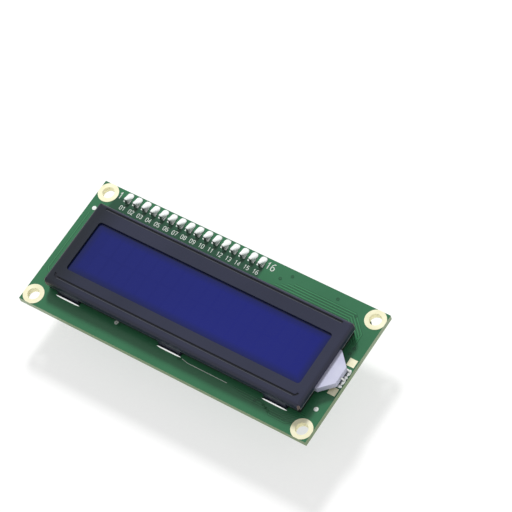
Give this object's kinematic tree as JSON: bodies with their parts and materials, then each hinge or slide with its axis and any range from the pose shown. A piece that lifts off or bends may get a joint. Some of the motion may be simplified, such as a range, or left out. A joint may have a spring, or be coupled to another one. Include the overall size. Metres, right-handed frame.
{
  "type": "character lcd module",
  "caption": "Two-line character display module: green board, dark sheet-metal bezel round a blue screen, pin row, and a black serial adapter board soldered behind.",
  "frame": {"origin": "middle of the four corner holes, on the main board's display-side face", "axes": "+Z out of the display, +X along the long side toward the backlight tongue, +Y toward the pin row"},
  "size_m": [0.08, 0.036, 0.0159],
  "materials": {
    "fr4_green": "glossy solder mask",
    "fr4_black": "glossy solder mask",
    "tin": "tinned copper, satin",
    "solder": "bright solder",
    "pin_metal": "plated, bright",
    "clip_metal": "spring brass",
    "lead_metal": "tinned leads",
    "bezel_paint": "satin dark coating on sheet steel",
    "lcd_glass": "clear",
    "polariser": "glossy deep blue film",
    "zebra_rubber": "striped contact rubber",
    "diffuser": "milky film",
    "guide_plastic": "milky, pale lilac",
    "blob_epoxy": "glossy black epoxy",
    "chip_epoxy": "moulded, matt",
    "strip_plastic": "moulded, semi-matt",
    "trimmer_blue": "moulded, satin",
    "rotor_plastic": "moulded, pale",
    "capacitor_body": "fired, dull",
    "led_lens": "clear resin over white"
  },
  "bodies": {
    "module": {"main_board": "fr4_green", "corner_lands": "tin", "pin_lands": "tin", "pin_solder": "solder", "row_pins": "pin_metal", "row_strip": "strip_plastic", "backlight_lands": "tin", "front_tab_lands": "tin", "back_tab_lands": "tin", "bezel": "bezel_paint", "inner_frame": "strip_plastic", "front_polariser": "polariser", "front_glass": "lcd_glass", "rear_glass": "lcd_glass", "rear_polariser": "polariser", "zebra_strips": "zebra_rubber", "diffuser_film": "diffuser", "light_guide": "guide_plastic", "backlight_leads": "lead_metal", "lead_solder": "solder", "driver_blob_1": "blob_epoxy", "driver_blob_2": "blob_epoxy", "board_resistors": "chip_epoxy", "board_resistor_ends": "solder", "bare_lands": "tin", "adapter_board": "fr4_black", "adapter_solder": "solder", "chip_body": "chip_epoxy", "chip_leads": "lead_metal", "trimmer_body": "trimmer_blue", "trimmer_pins": "lead_metal", "jumper_base": "strip_plastic", "jumper_pins": "pin_metal", "port_base": "strip_plastic", "port_pins": "pin_metal", "bent_pin_solder": "solder", "transistor_body": "chip_epoxy", "transistor_leads": "lead_metal", "power_led": "led_lens", "power_led_ends": "solder", "adapter_resistors": "chip_epoxy", "adapter_resistor_ends": "solder", "adapter_capacitor": "capacitor_body", "adapter_capacitor_ends": "solder", "address_lands": "tin"},
    "contrast_rotor": {"trimmer_rotor": "rotor_plastic"},
    "jumper": {"jumper_cap": "strip_plastic", "jumper_clip": "clip_metal"}
  },
  "joints": [
    {"name": "contrast_turn", "type": "hinge", "parent": "module", "child": "contrast_rotor", "pos_m": [-0.0248, 0.0105, -0.01054], "axis": [0, 0, -1], "range_deg": [-120, 120]},
    {"name": "jumper_slide", "type": "slide", "parent": "module", "child": "jumper", "axis": [1, 0, 0], "range_m": [0, 0.0065]}
  ]
}
